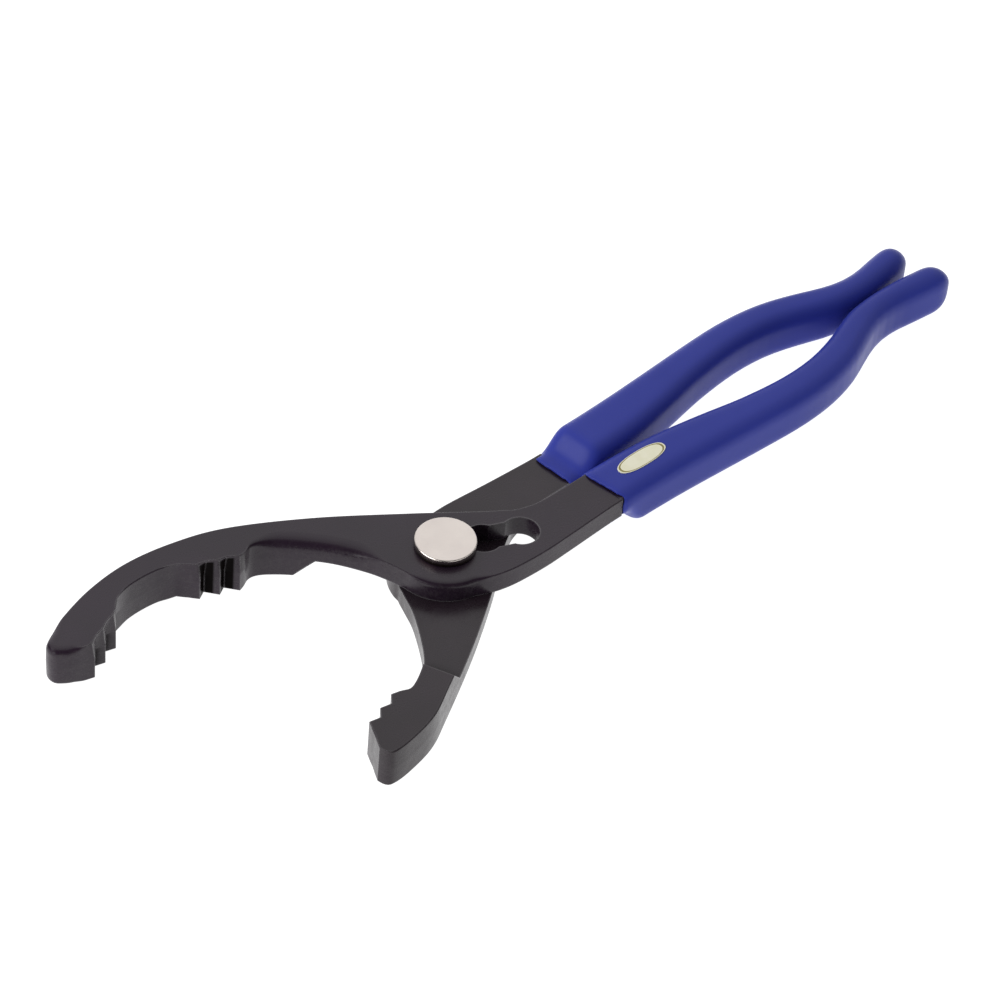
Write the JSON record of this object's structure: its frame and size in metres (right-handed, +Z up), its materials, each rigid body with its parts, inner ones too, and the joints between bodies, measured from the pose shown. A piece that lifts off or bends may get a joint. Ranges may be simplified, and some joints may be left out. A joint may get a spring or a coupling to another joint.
{
  "type": "oil filter wrench",
  "caption": "Pliers-type oil filter wrench with toothed curved jaws, a slip-joint slot and vinyl-dipped handles.",
  "frame": {"origin": "on the pivot bolt's axis, on the plane the tool lies on, with the bolt in the slot's first lobe and the handles closed", "axes": "+X along the handles away from the jaws, +Y towards the lower lever's grip, +Z up through the bolt's head"},
  "size_m": [0.2992, 0.0964, 0.0169],
  "materials": {
    "forged_black": "satin black paint over a drop forging",
    "blue_vinyl": "smooth dipped vinyl, soft gloss",
    "nickel_steel": "satin nickel plate",
    "label_film": "cream film with a gold rim"
  },
  "bodies": {
    "nut": {"nut": "nickel_steel"},
    "bolt": {"pivot_bolt": "nickel_steel"},
    "upper": {"upper_lever": "forged_black", "upper_grip": "blue_vinyl", "label": "label_film"},
    "lower": {"lower_lever": "forged_black", "lower_grip": "blue_vinyl"}
  },
  "joints": [
    {"name": "slot_slide", "type": "slide", "parent": "bolt", "child": "upper", "axis": [-0.9136, 0.4067, 0], "range_m": [0, 0.0216]},
    {"name": "closing_turn", "type": "hinge", "parent": "nut", "child": "bolt", "pos_m": [0, 0, 0], "axis": [0, 0, -1], "range_deg": [0, 14.2]},
    {"name": "handle_hinge", "type": "hinge", "parent": "nut", "child": "lower", "pos_m": [0, 0, 0], "axis": [0, 0, 1], "range_deg": [0, 60]}
  ],
  "couplings": [
    {"joint": "closing_turn", "follows": "slot_slide", "rad_per_m": 11.3}
  ]
}
